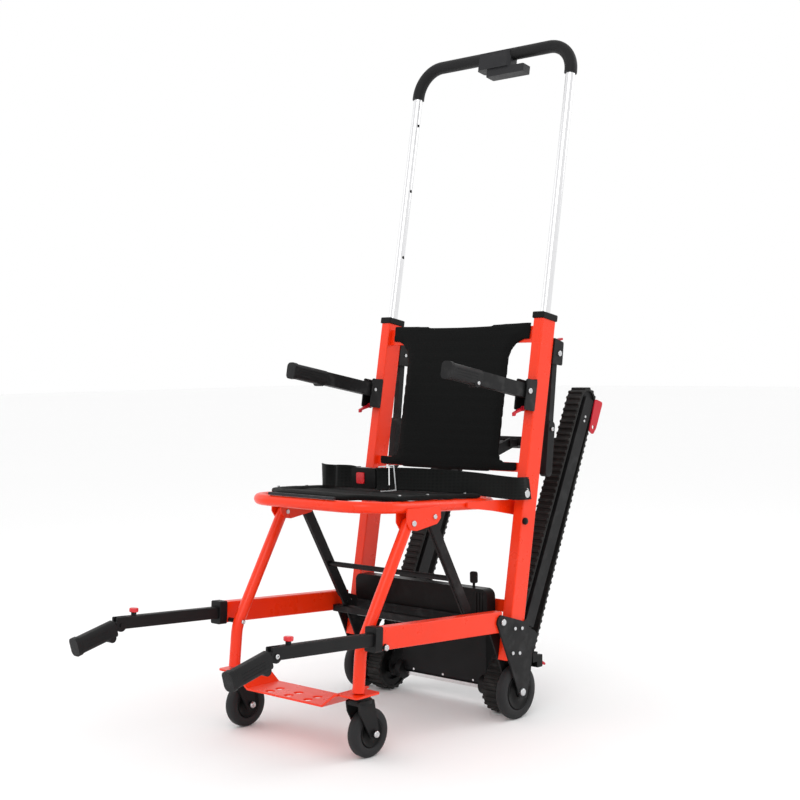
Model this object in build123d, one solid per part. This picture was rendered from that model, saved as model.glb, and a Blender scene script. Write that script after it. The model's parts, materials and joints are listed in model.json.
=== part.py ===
from build123d import *
import math
import os

# Motorised stair chair, millimetres, +Z up. The occupant faces -Y and +X is the occupant's left.
# Side views are drawn with y = 0 just in front of the post feet; ORIGIN_Y then moves the whole
# chair so that the origin lies on the floor under the middle of its overall box.
ORIGIN_Y = 73.52

# Back posts: rectangular tubes that lean back
RECLINE = 10.71
POST_X, POST_W, POST_D, POST_WALL = 232.9, 26.4, 48.7, 1.7
POST_FRONT_Y, POST_FOOT_Z, POST_TOP = 76.2, 138.0, 903.0
CAP_H, CAP_LIP = 15.0, 3.0

# Telescoping push handle
HANDLE_Y, HANDLE_D, HANDLE_BORE, HANDLE_R = 24.0, 22.2, 18.4, 68.0
HANDLE_LOW, HANDLE_TOP, GRIP_D = 690.0, 1554.0, 29.6

# Fold linkage, an exact parallelogram: rail pivot, leg foot pivot, leg head pivot, seat pivot
RAIL_PIVOT = (84.0, 226.0)
LEG_FOOT = (-287.5, 231.4)
LEG_HEAD = (-152.4, 460.2)
SEAT_PIVOT = (RAIL_PIVOT[0] + LEG_HEAD[0] - LEG_FOOT[0], RAIL_PIVOT[1] + LEG_HEAD[1] - LEG_FOOT[1])
STRUT_HEAD, STRUT_FOOT = (-86.0, 468.5), (44.6, 232.0)
LINK_X = 188.7          # plane of legs, seat side tubes and struts

# Seat tube loop
SEAT_D, SEAT_FRONT_Y, SEAT_REAR_Y, SEAT_R = 24.4, -270.0, 172.0, 88.0
SEAT_Z0, SEAT_RISE = 485.7, 3.18   # height of the tube axis at y = -17, rise towards the front

# Side rails and the lift handles that slide in them
RAIL_W, RAIL_H, RAIL_SLOPE = 26.0, 45.6, 3.5
RAIL_FRONT, RAIL_REAR, RAIL_MID_Z = -293.4, 86.0, 248.4
LIFT_W, LIFT_H, LIFT_RISE = 19.4, 25.4, 4.4
GRIP_PIVOT = (-572.8, 260.8)

# Wheels
REAR_AXLE, REAR_R, REAR_W = (149.6, 61.7), 61.7, 24.0
CASTER_X, CASTER_Y, CASTER_R, CASTER_W, CASTER_TRAIL = 184.8, -297.0, 50.0, 27.0, 21.0
MOUNT_Z = 132.5

# Tracks
TRACK_X, BELT_W, TRACK_TILT = 177.7, 41.0, 26.0
SPROCKET, SPROCKET_R = (177.0, 55.0), 50.5
TRACK_TOP, ROLLER_R, BELT_T, LUG_H = (488.0, 692.0), 25.5, 5.0, 2.6

# Armrests
ARM_PIVOT, ARM_X = (188.0, 725.0), 234.0
BRACE_PIVOT = (300.0, 807.0)
STAY_PIVOT = (418.0, 590.0)

POST = Pos(0, POST_FRONT_Y, 0) * Rot(-RECLINE, 0, 0)


def block(x0, x1, y0, y1, z0, z1, fillet_x=0.0):
    """Box from corner to corner, with its X edges rounded when fillet_x is set."""
    shape = Pos((x0 + x1) / 2, (y0 + y1) / 2, (z0 + z1) / 2) * Box(x1 - x0, y1 - y0, z1 - z0)
    return fillet(shape.edges().filter_by(Axis.X), fillet_x) if fillet_x else shape


def plate(outline, x0, x1, corner=0.0):
    """Side-view outline of (y, z) points, extruded from x0 to x1."""
    face = make_face(Polyline(*[Vector(0, y, z) for y, z in outline], close=True))
    shape = extrude(face, amount=x1 - x0, dir=(1, 0, 0))
    if corner:
        shape = fillet(shape.edges().filter_by(Axis.X), corner)
    return Pos(x0, 0, 0) * shape


def rod_x(y, z, radius, x0, x1):
    """Round bar along X."""
    return Pos((x0 + x1) / 2, y, z) * Rot(0, 90, 0) * Cylinder(radius, x1 - x0)


def bar(p, q, x0, x1, width, over=0.0):
    """Flat bar in a side plane between two (y, z) points, with round ends past each by over."""
    angle = math.degrees(math.atan2(q[1] - p[1], q[0] - p[0]))
    length = math.dist(p, q)
    core = Pos(0, length / 2, 0) * Box(x1 - x0, length, width)
    ends = [Pos(0, s, 0) * Rot(0, 90, 0) * Cylinder(width / 2 + over, x1 - x0) for s in (0, length)]
    return Pos((x0 + x1) / 2, p[0], p[1]) * Rot(angle, 0, 0) * (core + ends)


def pipe(points, radius, bend, bore=0.0, close=False):
    """Round tube along straight runs joined by bends."""
    path = FilletPolyline(*points, radius=bend, close=close)
    start = Plane(origin=path @ 0, z_dir=path % 0)
    tube = sweep(start * Circle(radius), path=path)
    return tube - sweep(start * Circle(bore), path=path) if bore else tube


def both_sides(shape):
    """The shape and its mirror image, kept as separate solids."""
    return Compound(children=[*shape.solids(), *mirror(shape, about=Plane.YZ).solids()])


def solids_of(*shapes):
    """Several shapes as separate solids of one node."""
    return Compound(children=[s for shape in shapes for s in shape.solids()])


def save(name, shape):
    export_step(Pos(0, ORIGIN_Y, 0) * shape, f"parts/{name}.step")


def seat_z(y):
    """Height of the seat tube axis."""
    return SEAT_Z0 - (y + 17.0) * math.tan(math.radians(SEAT_RISE))


def rail_z(y):
    """Height of the side rail axis."""
    return RAIL_MID_Z - (y - RAIL_FRONT) * math.tan(math.radians(RAIL_SLOPE))


def lift_z(y):
    """Height of the lift handle tube's axis."""
    return GRIP_PIVOT[1] + LIFT_RISE - (y - GRIP_PIVOT[0]) * math.tan(math.radians(RAIL_SLOPE))


def bolt(y, z, x_face, side=1, radius=6.0, height=4.0):
    """Domed bolt head standing on a face square to X."""
    head = rod_x(y, z, radius, x_face, x_face + height)
    return fillet(head.edges().sort_by(Axis.X)[-1], height * 0.6) if side > 0 else mirror(
        bolt(y, z, -x_face, 1, radius, height), about=Plane.YZ)


# ---------------------------------------------------------------- back frame

def posts():
    """The two hollow back posts, cut level at the foot."""
    start = 100.0
    outer = POST * Pos(POST_X, POST_D / 2, (start + POST_TOP) / 2) * Box(POST_W, POST_D, POST_TOP - start)
    outer = fillet(outer.edges().group_by(SortBy.LENGTH)[-1], 2.5)
    inner = POST * Pos(POST_X, POST_D / 2, (start + POST_TOP) / 2) * Box(
        POST_W - 2 * POST_WALL, POST_D - 2 * POST_WALL, POST_TOP - start + 2)
    below = block(150, 300, 0, 300, 0, POST_FOOT_Z)
    return both_sides(outer - inner - below)


def post_caps():
    """Plastic caps that guide the handle tubes."""
    cap = Pos(POST_X, POST_D / 2, POST_TOP + CAP_H / 2) * Box(
        POST_W + 2 * CAP_LIP, POST_D + 2 * CAP_LIP, CAP_H)
    cap = fillet(cap.edges(), 2.5) - Pos(POST_X, HANDLE_Y, POST_TOP + CAP_H / 2) * Cylinder(
        HANDLE_D / 2 + 0.3, CAP_H + 2)
    return both_sides(POST * cap)


def frame_crossmembers():
    """Flat bars that carry the backrest, the low cross tube and the seat hinge lugs."""
    inner = POST_X - POST_W / 2
    top = POST * Pos(0, 15, 869) * Box(2 * inner, 4, 38)
    low = POST * Pos(0, 15, 566) * Box(2 * inner, 4, 21)
    tube = POST * Pos(0, 30, 257) * Box(2 * inner, 25, 27)
    lug = plate([(185, 440), (225, 440), (232, 448), (232, 470), (205, 480), (185, 480)],
                inner - 5, inner, 4)
    lug = lug - rod_x(*SEAT_PIVOT, 5.05, inner - 8, inner + 2)
    return solids_of(top, low, tube, both_sides(lug))


def backrest():
    """Fabric sling between the posts, wide at its four tabs and waisted between them."""
    half = [(0, 893), (120, 895), (185, 899), (209, 899), (209, 858), (157, 858), (157, 577),
            (209, 577), (209, 556.5), (150, 552), (0, 546)]
    outline = half + [(-x, z) for x, z in half[-2:0:-1]]
    face = make_face(Polyline(*[Vector(x, 0, z) for x, z in outline], close=True))
    for z, radius in ((858, 48), (577, 20)):
        corners = [v for v in face.vertices() if abs(v.X) == 157 and abs(v.Z - z) < 1]
        face = fillet(corners, radius)
    return POST * Pos(0, 12.7, 0) * extrude(face, amount=5, dir=(0, -1, 0))


def rear_plates():
    """Black plates on both faces of each post foot, which carry the rail pivot and the wheel."""
    outline = [(64.8, 226), (70, 238), (80, 242), (160.9, 216.7), (172, 221), (178, 200),
               (198, 191), (208, 182), (204.5, 165.8), (190, 150), (181, 90), (166, 45),
               (142, 50), (114.8, 116.5)]
    hole = rod_x(*RAIL_PIVOT, 5.05, 200, 270)
    outer_x, inner_x = POST_X + POST_W / 2, POST_X - POST_W / 2
    axle_hole = rod_x(*REAR_AXLE, 5.02, 200, 270)
    outer = plate(outline, outer_x + 0.02, outer_x + 4, 5) - hole - axle_hole
    inner = plate(outline, inner_x - 4, inner_x - 0.02, 5) - hole - axle_hole
    return both_sides(solids_of(outer, inner))


def frame_fasteners():
    """Bolts, pivot pins, wheel axles and the lap belt anchors of the back frame."""
    outer_x, inner_x = POST_X + POST_W / 2 + 4, POST_X - POST_W / 2 - 4
    small = [bolt(y, z, outer_x, radius=4.2, height=3) for y, z in
             ((126, 206), (151, 203), (117.4, 153), (141.4, 149.5))]
    pin = rod_x(*RAIL_PIVOT, 5.0, inner_x - 3, outer_x) + bolt(*RAIL_PIVOT, outer_x, radius=7.5, height=5)
    axle = rod_x(*REAR_AXLE, 5.0, inner_x - 3, outer_x) + bolt(*REAR_AXLE, outer_x, radius=8.5, height=6)
    seat_pin = rod_x(*SEAT_PIVOT, 5.0, LINK_X + 13.9, inner_x + 4)
    arm_pin = rod_x(*ARM_PIVOT, 4.0, 217, 249.6) + bolt(*ARM_PIVOT, 249.6, radius=6.5)
    brace_pin = rod_x(*BRACE_PIVOT, 4.0, 217, 249.6) + bolt(*BRACE_PIVOT, 249.6, radius=6.5)
    anchor = rod_x(172.5, 498, 13, POST_X + POST_W / 2 + 0.02, POST_X + POST_W / 2 + 3)
    anchor = anchor + bolt(172.5, 498, POST_X + POST_W / 2 + 3, radius=9, height=5)
    return both_sides(solids_of(*small, pin, axle, seat_pin, arm_pin, brace_pin, anchor))


def channel(outline, pin, back_y):
    """U-channel bracket: two cheeks on a web that lies against the post."""
    cheeks = plate(outline, 218.5, 221.5, 4) + plate(outline, 246.5, 249.5, 4)
    web = plate([(back_y[0][0], back_y[0][1]), (back_y[1][0], back_y[1][1]),
                 (back_y[2][0], back_y[2][1]), (back_y[3][0], back_y[3][1])], 219, 249)
    return both_sides(cheeks + web - rod_x(*pin, 4.05, 200, 260))


def armrest_brackets():
    outline = [(181.4, 753), (217.3, 746.3), (204.4, 678.6), (169.6, 684.5)]
    web = [(217.5, 749), (215, 750), (202, 681), (204.7, 681)]
    return channel(outline, ARM_PIVOT, web)


def brace_brackets():
    """Brackets on the backs of the posts for the track braces."""
    outline = [(285.4, 842), (318, 832), (311, 779), (274.4, 784)]
    web = [(285.3, 842), (287.8, 841.5), (276.7, 783), (274.2, 783.5)]
    return channel(outline, BRACE_PIVOT, web)


def release_block():
    """Small black block behind the right rear plate with the track release lever on it."""
    body = block(219.5, 246, 212, 232, 104, 132, 3) + block(219.5, 246, 196, 214, 118, 140)
    slot = block(229, 237, 218, 240, 100, 140)
    return body - slot


# ---------------------------------------------------------------- power pack and drive

def battery_case():
    """Battery pack with rounded ends and a ribbed end cap."""
    case = block(-200, 200, 92, 121, 224, 290)
    case = fillet(case.edges().filter_by(Axis.Y), 17)
    ribs = [block(x, x + 3, 90.6, 122.4, 232, 282) for x in (168, 176, 184)]
    return case + ribs - Pos(152, 106, 288) * Cylinder(5.2, 12)


def battery_tray():
    """Tray under the battery with a turned-up front lip."""
    floor = block(-190, 190, 88, 126, 205, 222.5)
    return floor + block(-190, 190, 84, 88, 191, 230) + block(-120, -60, 126, 134, 205, 236)


def drive_housing():
    """Motor and gearbox housing between the tracks."""
    outline = [(176, 52), (176, 176), (196, 196), (262, 196), (270, 120), (240, 52)]
    body = plate(outline, -128, 128, 6)
    bearing = [rod_x(*SPROCKET, 22, a, b) for a, b in ((-136, -120), (120, 136))]
    return body + bearing - [rod_x(*SPROCKET, 7.55, a, b) for a, b in ((-150, -128), (128, 150))]


def drive_strip():
    """Aluminium wear strip and its rivets along the housing's lower front edge."""
    strip = block(-119, 119, 175.0, 236, 44, 51.9)
    rivets = [Pos(x, 175.0, 60) * Rot(90, 0, 0) * Cylinder(2.6, 2) for x in (-91, 0, 91)]
    return solids_of(strip, *rivets)


def track_sprockets():
    """Sprocket in each track on its stub of the drive shaft."""
    shaft = rod_x(*SPROCKET, 7.5, 128.3, 196)
    wheel = rod_x(*SPROCKET, SPROCKET_R - BELT_T - 0.5, TRACK_X - 17, TRACK_X + 17)
    wheel = wheel - rod_x(*SPROCKET, 30, TRACK_X - 18, TRACK_X - 8)
    hub = rod_x(*SPROCKET, 15, TRACK_X - 19, TRACK_X + 17)
    return both_sides(shaft + wheel + hub)


# ---------------------------------------------------------------- tracks

TILT = math.radians(TRACK_TILT)
ALONG = (math.sin(TILT), math.cos(TILT))
ACROSS = (math.cos(TILT), -math.sin(TILT))


def track_point(base, along, across):
    """Point offset from a base point along the track and towards its rear face."""
    return (base[0] + along * ALONG[0] + across * ACROSS[0],
            base[1] + along * ALONG[1] + across * ACROSS[1])


def tangent_point(centre, radius, outside):
    """Where the line from an outside point touches the front of a circle."""
    towards = math.atan2(outside[1] - centre[1], outside[0] - centre[0])
    angle = towards + math.acos(radius / math.dist(centre, outside))
    return (centre[0] + radius * math.cos(angle), centre[1] + radius * math.sin(angle))


def track_outline(grow):
    """Closed belt line: round the sprocket, up the back, over the top roller, down the front."""
    big, small = SPROCKET_R + grow, ROLLER_R + BELT_T + grow
    top = TRACK_TOP
    back_low = track_point(SPROCKET, 0, big)
    back_top = track_point(top, 0, small)
    front_top = track_point(top, 0, -small)
    crown = track_point(top, small, 0)
    knee = track_point(top, -590 + grow * 0.2, -small)
    nose = tangent_point(SPROCKET, big, knee)
    chin = (SPROCKET[0] + big * math.cos(math.radians(250)), SPROCKET[1] + big * math.sin(math.radians(250)))
    v = [Vector(0, *p) for p in (back_low, back_top, crown, front_top, knee, nose, chin)]
    edges = [Line(v[0], v[1]), ThreePointArc(v[1], v[2], v[3]), Line(v[3], v[4]), Line(v[4], v[5]),
             ThreePointArc(v[5], v[6], v[0])]
    return make_face(Wire(edges))


def track_belts():
    """Rubber belt loops with cross lugs."""
    x0, x1 = TRACK_X - BELT_W / 2, TRACK_X + BELT_W / 2
    ring = extrude(track_outline(0), amount=BELT_W, dir=(1, 0, 0)) - Pos(-1, 0, 0) * extrude(
        track_outline(-BELT_T), amount=BELT_W + 2, dir=(1, 0, 0))
    return both_sides(Pos(x0, 0, 0) * ring)


def track_frames():
    """Side plates of each track, with the top roller and the knee idler between them."""
    straight = [track_point(TRACK_TOP, a, c) for a, c in
                ((12, -16), (12, 16), (-575, 20), (-620, 8), (-560, -14))]
    core = plate(straight, TRACK_X - 16.5, TRACK_X + 16.5, 3)
    roller = rod_x(*TRACK_TOP, ROLLER_R - 0.02, TRACK_X - 16, TRACK_X + 16)
    skirt = [track_point(TRACK_TOP, a, c) for a, c in ((8, -17), (8, 17), (-560, 17), (-560, -17))]
    cheeks = plate(skirt, TRACK_X - 24, TRACK_X - 16.5, 5) + plate(skirt, TRACK_X + 16.5, TRACK_X + 24, 5)
    arm = [track_point(TRACK_TOP, a, c) for a, c in ((-540, -15), (-540, 17), (-640, 14), (-676, 12))]
    arm = arm + [(SPROCKET[0] - 20, SPROCKET[1] - 6), (SPROCKET[0] - 20, SPROCKET[1] + 14)]
    yoke = plate(arm, TRACK_X - 25.5, TRACK_X - 21.5, 3) + rod_x(*SPROCKET, 20, TRACK_X - 25.5, TRACK_X - 21.5)
    body = core + roller + cheeks + yoke - rod_x(*SPROCKET, 7.58, 100, 220)
    return both_sides(body)


def track_guards():
    """Crimson guards on both sides of each track's upper end."""
    outline = [(509.9, 697), (541, 688), (512, 627), (498, 612), (483, 622)]
    hole = rod_x(499, 630, 5, 100, 300)
    outer = plate(outline, TRACK_X + 24.02, TRACK_X + 27, 6) - hole
    inner = plate(outline, TRACK_X - 27, TRACK_X - 24.02, 6) - hole
    return both_sides(solids_of(outer, inner))


def track_crossbar():
    """Square tube that ties the two tracks together, with the lugs for the stay."""
    y, z = 450.0, 590.0
    beam = Pos(0, y, z) * Rot(-TRACK_TILT, 0, 0) * Box(2 * (TRACK_X - 24.1), 22, 24)
    beam = fillet(beam.edges().filter_by(Axis.X), 2)
    lugs = [block(x, x + 4, y - 42, y, z - 9, z + 9, 4) for x in (-24, 20)]
    return beam + lugs - rod_x(*STAY_PIVOT, 4.05, -40, 40)


def track_stay():
    """Flat stay hinged on the track crossbar, reaching forward to the back frame."""
    y, z = STAY_PIVOT
    drop = math.radians(16)
    end = (y - 120 * math.cos(drop), z - 120 * math.sin(drop))
    arm = bar(end, (y, z), -19, -15, 26) + bar(end, (y, z), 15, 19, 26)
    web = Pos(0, (y + end[0]) / 2 - 8, (z + end[1]) / 2 - 2) * Rot(16, 0, 0)
    web = web * Pos(0, 0, 11.2) * Box(30, 98, 3.5)
    pin = rod_x(y, z, 4.0, -25, 25)
    return arm + web + pin


def brace(side):
    """Telescoping brace hanging behind a post: inner rod in an outer sleeve."""
    lean = math.radians(7.0)
    down = (-math.sin(lean), -math.cos(lean))
    def along(distance):
        return (BRACE_PIVOT[0] + down[0] * distance, BRACE_PIVOT[1] + down[1] * distance)
    rod = bar(along(0), along(230), POST_X - 6, POST_X + 6, 17) - rod_x(*BRACE_PIVOT, 4.06, 200, 260)
    sleeve = bar(along(166), along(268), POST_X - 9, POST_X + 9, 24)
    sleeve = sleeve - bar(along(150), along(231), POST_X - 6, POST_X + 6, 17)
    sleeve = sleeve + bolt(*along(172), POST_X + 9, radius=4)
    both = solids_of(rod, sleeve)
    return both if side > 0 else mirror(both, about=Plane.YZ)


def brace_levers():
    """Crimson release tabs at the top of the brace brackets."""
    tab = plate([(303, 833.5), (303, 838.5), (331, 843), (331, 838)], POST_X - 5, POST_X + 5, 1.5)
    return both_sides(tab)


def release_lever():
    """Dark red lever in the rear release block."""
    tab = plate([(222, 112), (222, 120), (236, 118), (257, 106), (256, 101)], 230, 236, 2)
    return tab


# ---------------------------------------------------------------- handle

def handle_frame():
    """U-shaped aluminium tube that slides in the posts."""
    points = [(-POST_X, HANDLE_Y, HANDLE_LOW), (-POST_X, HANDLE_Y, HANDLE_TOP),
              (POST_X, HANDLE_Y, HANDLE_TOP), (POST_X, HANDLE_Y, HANDLE_LOW)]
    tube = POST * pipe(points, HANDLE_D / 2, HANDLE_R, HANDLE_BORE / 2)
    for drop in (0, 169, 338, 507):
        hole = Pos(0, HANDLE_Y, 1412 - drop) * Rot(0, 90, 0) * Cylinder(4, 2 * POST_X)
        tube = tube - POST * hole if drop < 400 else tube
    return tube


def handle_grip():
    """Foam sleeve over the top of the handle."""
    points = [(-POST_X, HANDLE_Y, 1480), (-POST_X, HANDLE_Y, HANDLE_TOP),
              (POST_X, HANDLE_Y, HANDLE_TOP), (POST_X, HANDLE_Y, 1480)]
    return POST * pipe(points, GRIP_D / 2, HANDLE_R, HANDLE_D / 2)


def control_housing():
    """Control sleeve clamped round the grip, with the flat switch box under it."""
    sleeve = Pos(13, HANDLE_Y, HANDLE_TOP - 13.5) * Box(98, 38, 41)
    sleeve = chamfer(sleeve.edges().filter_by(Axis.Z), 7)
    box = Pos(48, HANDLE_Y, HANDLE_TOP - 43) * Box(110, 30, 19)
    box = fillet(box.edges().filter_by(Axis.Z), 3)
    pocket = Pos(48, HANDLE_Y + 13.5, HANDLE_TOP - 43) * Box(30.6, 14, 12.6)
    bore = Pos(13, HANDLE_Y, HANDLE_TOP) * Rot(0, 90, 0) * Cylinder(GRIP_D / 2, 120)
    return POST * (sleeve + box - pocket - bore)


def control_rocker():
    """Up and down rocker switch on the operator's side of the switch box."""
    cap = Pos(48, HANDLE_Y + 12.5, HANDLE_TOP - 43) * Box(29.6, 8, 11.6)
    return POST * fillet(cap.edges().filter_by(Axis.X), 1.5)


# ---------------------------------------------------------------- armrests

def arm_place(shape):
    """Moves a shape drawn along -Y at the origin to the armrest, square to the posts."""
    return Pos(ARM_X, *ARM_PIVOT) * Rot(-RECLINE, 0, 0) * shape


def hand_grip(length, drop=0.0):
    """Rubber grip with lengthwise grooves, a thicker end and a round end boss, along -Y."""
    core = Pos(0, -length / 2, 0) * Box(25, length, 35)
    core = fillet(core.edges().filter_by(Axis.Y), 9)
    flare = Pos(0, -length + 5, 0) * Box(28, 10, 38)
    flare = fillet(flare.edges().filter_by(Axis.Y), 10)
    grooves = [Pos(x, -length / 2 + 2, z) * Box(1.8, length - 40, 1.6) for x in (-12.9, 12.9)
               for z in (-6, 0, 6)]
    boss = Pos(0, -14, -12 - drop) * Rot(0, 90, 0) * Cylinder(9, 22)
    return core + flare + boss - grooves


def armrest_tube(side):
    tube = Pos(0, -100, 0) * Box(20, 200, 31) - Pos(0, -100, 0) * Box(16, 202, 27)
    tube = tube + Rot(0, 90, 0) * Cylinder(15.5, 20) + Pos(0, -198, 0) * Box(20, 4, 31)
    body = arm_place(tube) - rod_x(*ARM_PIVOT, 4.05, 200, 260)
    return body if side > 0 else mirror(body, about=Plane.YZ)


def armrest_grip(side):
    grip = Pos(0, -163, 0) * hand_grip(108)
    grip = arm_place(grip - Pos(0, -100, 0) * Box(20, 200, 31))
    return grip if side > 0 else mirror(grip, about=Plane.YZ)


def armrest_lever(side):
    """Crimson hooked release lever under the armrest bracket."""
    hook = plate([(192, 684), (186, 690), (176, 688), (160, 683), (147, 678), (147, 670),
                  (152, 671), (155, 676), (168, 679)], ARM_X - 3, ARM_X + 3, 1.2)
    hook = hook + rod_x(186, 687, 5, ARM_X - 5, ARM_X + 5)
    return hook if side > 0 else mirror(hook, about=Plane.YZ)


# ---------------------------------------------------------------- seat

def seat_frame():
    """Tube loop with the brackets for legs and struts and the rear hinge arms."""
    corners = [(x, y, seat_z(y)) for x, y in ((-LINK_X, SEAT_FRONT_Y), (LINK_X, SEAT_FRONT_Y),
                                              (LINK_X, SEAT_REAR_Y), (-LINK_X, SEAT_REAR_Y))]
    start = (0, SEAT_FRONT_Y, seat_z(SEAT_FRONT_Y))
    loop = pipe([start, corners[1], corners[2], (0, SEAT_REAR_Y, seat_z(SEAT_REAR_Y))],
                SEAT_D / 2, SEAT_R)
    loop = loop + mirror(loop, about=Plane.YZ)
    outline = [(-171, 492), (-172, 462), (-162, 447), (-142, 444), (-78, 453), (-66, 464), (-66, 487)]
    holes = rod_x(*LEG_HEAD, 5.05, 150, 220) + rod_x(*STRUT_HEAD, 4.05, 150, 220)
    side = plate(outline, LINK_X + 13.2, LINK_X + 16.2, 4) + plate(outline, LINK_X - 16.2, LINK_X - 13.2, 4)
    side = side + block(LINK_X - 16, LINK_X + 16, -171, -66, 487, 490) - holes
    hinge = plate([(20, 490), (110, 487), (206, 481), (229, 468), (229, 446), (209, 443), (110, 463),
                   (20, 477)], LINK_X + 13.7, LINK_X + 18.7, 4) - rod_x(*SEAT_PIVOT, 5.06, 150, 230)
    sides = side + hinge + block(LINK_X + 5, LINK_X + 14.5, 30, 100, 474, 484)
    return loop + sides + mirror(sides, about=Plane.YZ)


def seat_pad():
    """Fabric sling on the tube loop."""
    width, front, rear = 195.0, -262.0, 120.0
    middle, half = (front + rear) / 2, (rear - front) / 2
    right = [(98, -half), (width, 80 - half), (width, half)]
    outline = right + [(-x, y) for x, y in right[::-1]]
    face = make_face(Polyline(*outline, close=True))
    face = fillet([v for v in face.vertices() if v.Y > 0], 60)
    sketch = fillet([v for v in face.vertices() if v.Y < 0], 24)
    hollow = Pos(0, 0, 4) * extrude(offset(sketch, amount=-24), amount=10)
    body = extrude(sketch, amount=10) - hollow
    return Pos(0, middle, seat_z(middle) + SEAT_D / 2 + 0.2) * Rot(-SEAT_RISE, 0, 0) * body


def seat_bar():
    """Flat clamp bar along the front hem of the seat."""
    y = SEAT_FRONT_Y - 4.5
    return Pos(0, y, seat_z(y) + SEAT_D / 2 + 3.4) * Rot(-SEAT_RISE, 0, 0) * fillet(
        Box(196, 7, 6).edges().filter_by(Axis.X), 1.5)


def seat_bolts():
    """Pivot pins of legs and struts, and the hem screws of the sling."""
    leg = rod_x(*LEG_HEAD, 5.0, LINK_X - 18, LINK_X + 16.2) + bolt(*LEG_HEAD, LINK_X + 16.2, radius=6.5)
    strut = rod_x(*STRUT_HEAD, 4.0, LINK_X - 18, LINK_X + 16.2) + bolt(*STRUT_HEAD, LINK_X + 16.2, radius=5.5)
    screws = [Pos(LINK_X - 6, y, seat_z(y) + SEAT_D / 2 + 11.9) * Cylinder(3.4, 2) for y in (-170, -83, 40)]
    return both_sides(solids_of(leg, strut, *screws))


def lap_belt():
    """Lap belt: a long strap from one post and a short one from the other."""
    z0, z1, thick = 510.0, 558.0, 3.2
    right = [(252.5, 176), (250.5, 164.5), (214, 150), (170, 88), (105, 30), (38, -12)]
    left = [(-252.5, 176), (-250.5, 164.5), (-214, 146), (-203, 70), (-203, 0), (-172, -32), (-78, -34)]
    straps = []
    for route, radii in ((right, (5, 22, 60, 90)), (left, (5, 22, 90, 30, 20))):
        path = FilletPolyline(*[Vector(x, y, z0) for x, y in route], radius=list(radii))
        start = Plane(origin=path @ 0, z_dir=path % 0, x_dir=(0, 0, 1))
        straps.append(sweep(start * Pos((z1 - z0) / 2, 0) * Rectangle(z1 - z0, thick), path=path))
    return solids_of(*straps)


def buckle():
    """Buckle body with a pocket for its button."""
    body = Pos(-41, -34, 534) * Box(72, 18, 46)
    body = fillet(body.edges().filter_by(Axis.Y), 8)
    return body - Pos(-50, -40, 534) * Box(24, 14, 26) - Pos(-76, -34, 534) * Box(6, 3.6, 49)


def buckle_button():
    return fillet((Pos(-50, -41.5, 534) * Box(23.2, 7, 25.2)).edges().filter_by(Axis.Y), 4)


def belt_adjuster():
    """Bright wire frame that the long strap loops through."""
    place = Pos(17, -27, 535) * Rot(0, -6, 32)
    ring = Box(36, 2.6, 57) - Box(31, 5, 52)
    return place * (ring + Pos(-5, 0, 0) * Box(2.6, 2.6, 54))


# ---------------------------------------------------------------- rails, legs and struts

def side_rails():
    """Red side rails, hollow so that the lift handles slide in them."""
    middle = (RAIL_FRONT + RAIL_REAR) / 2
    length = RAIL_REAR - RAIL_FRONT
    rail = Box(RAIL_W, length, RAIL_H)
    rail = fillet(rail.edges().filter_by(Axis.Y), 3) - Box(RAIL_W - 4, length + 2, RAIL_H - 4)
    rail = rail + Pos(0, length / 2 - 1.5, 0) * Box(RAIL_W - 1, 3, RAIL_H - 1)
    rail = Pos(POST_X, middle, rail_z(middle)) * Rot(-RAIL_SLOPE, 0, 0) * rail
    tail = rod_x(*RAIL_PIVOT, 12, POST_X - RAIL_W / 2, POST_X + RAIL_W / 2)
    return both_sides(rail + tail - rod_x(*RAIL_PIVOT, 5.06, 200, 260) - rod_x(*LEG_FOOT, 3.2, 200, 260))


def rail_fittings():
    """Collars at the rail fronts, the guide blocks in the rails, and the crossbar between the rails."""
    y = RAIL_FRONT - 12
    window = Pos(0, 0, lift_z(y) - rail_z(y)) * Box(LIFT_W + 0.8, 30, LIFT_H + 0.8)
    collar = fillet(Box(30.5, 20, 50).edges().filter_by(Axis.Y), 4) - window
    collar = Pos(POST_X, y, rail_z(y)) * Rot(-RAIL_SLOPE, 0, 0) * collar
    beam = block(-POST_X + RAIL_W / 2, POST_X - RAIL_W / 2, 34, 55, 204, 219.6, 2)
    lug = bar((STRUT_FOOT[0], 216), STRUT_FOOT, LINK_X - 0.5, LINK_X + 3.5, 16)
    lug = lug - rod_x(*STRUT_FOOT, 4.05, 150, 220)
    inside = POST_X - RAIL_W / 2
    pin = rod_x(*LEG_FOOT, 4.95, 174, inside) + rod_x(*LEG_FOOT, 3.2, inside, POST_X + RAIL_W / 2) + bolt(*LEG_FOOT, POST_X + RAIL_W / 2, radius=7)
    strut_pin = rod_x(*STRUT_FOOT, 3.98, LINK_X - 11, LINK_X + 6)
    return solids_of(both_sides(solids_of(collar, pin)), beam + lug + mirror(lug, about=Plane.YZ)
                     + strut_pin + mirror(strut_pin, about=Plane.YZ))


def front_legs():
    """Bent red tubes from the seat brackets down to the caster plates."""
    path = [(LINK_X, *LEG_HEAD), (186.4, -294.1, 224.0), (187.0, -303.5, MOUNT_Z + 2)]
    leg = pipe(path, 12.4, 90)
    head = Pos(LINK_X, *LEG_HEAD) * Sphere(12.4)
    leg = leg + head - rod_x(*LEG_HEAD, 5.06, 150, 230) - rod_x(*LEG_FOOT, 5.02, 150, 230)
    base = block(CASTER_X - 27, CASTER_X + 24, -331, -262, MOUNT_Z - 4, MOUNT_Z)
    return both_sides(leg + fillet(base.edges().filter_by(Axis.Z), 6))


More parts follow.
